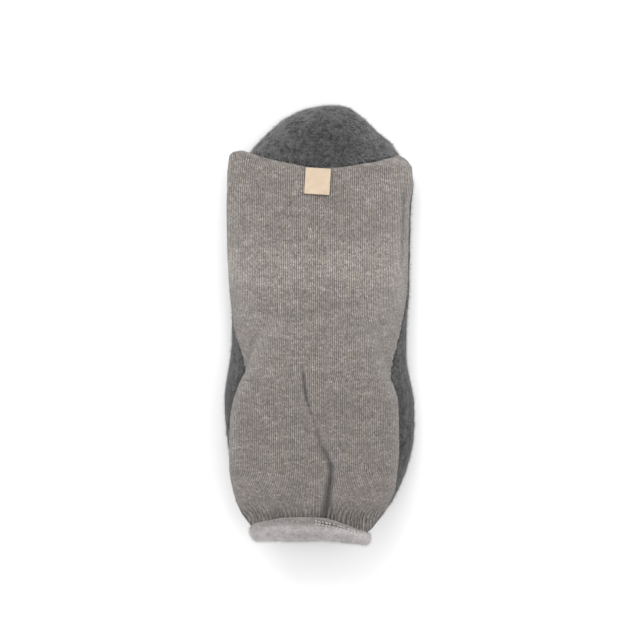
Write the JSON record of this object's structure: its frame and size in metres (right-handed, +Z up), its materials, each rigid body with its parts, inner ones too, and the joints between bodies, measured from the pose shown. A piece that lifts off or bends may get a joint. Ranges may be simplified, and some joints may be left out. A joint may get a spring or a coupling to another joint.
{
  "type": "slipper sock",
  "caption": "Ankle-high slipper sock for the left foot: felt sole and toe cap, knitted upper, rolled fleece collar, shaft laid back over the heel.",
  "frame": {"origin": "middle of the whole part's underside, on the floor plane", "axes": "+X across the foot towards the big toe, +Y along the foot towards the toe, +Z up"},
  "size_m": [0.1136, 0.2652, 0.0605],
  "materials": {
    "sole_felt": "mottled dark grey boiled wool felt",
    "side_felt": "mottled dark grey boiled wool felt with loose hairs",
    "cap_felt": "mottled dark grey boiled wool felt with loose hairs",
    "insole_felt": "plain grey felt",
    "knit": "light beige grey melange fine jersey",
    "fleece": "brushed light grey fleece",
    "tape": "cream woven cotton tape, bare"
  },
  "bodies": {
    "root": {"sole": "sole_felt", "side_wall": "side_felt", "toe_cap": "cap_felt", "insole": "insole_felt", "upper": "knit", "cuff": "fleece", "label": "tape"}
  },
  "joints": []
}
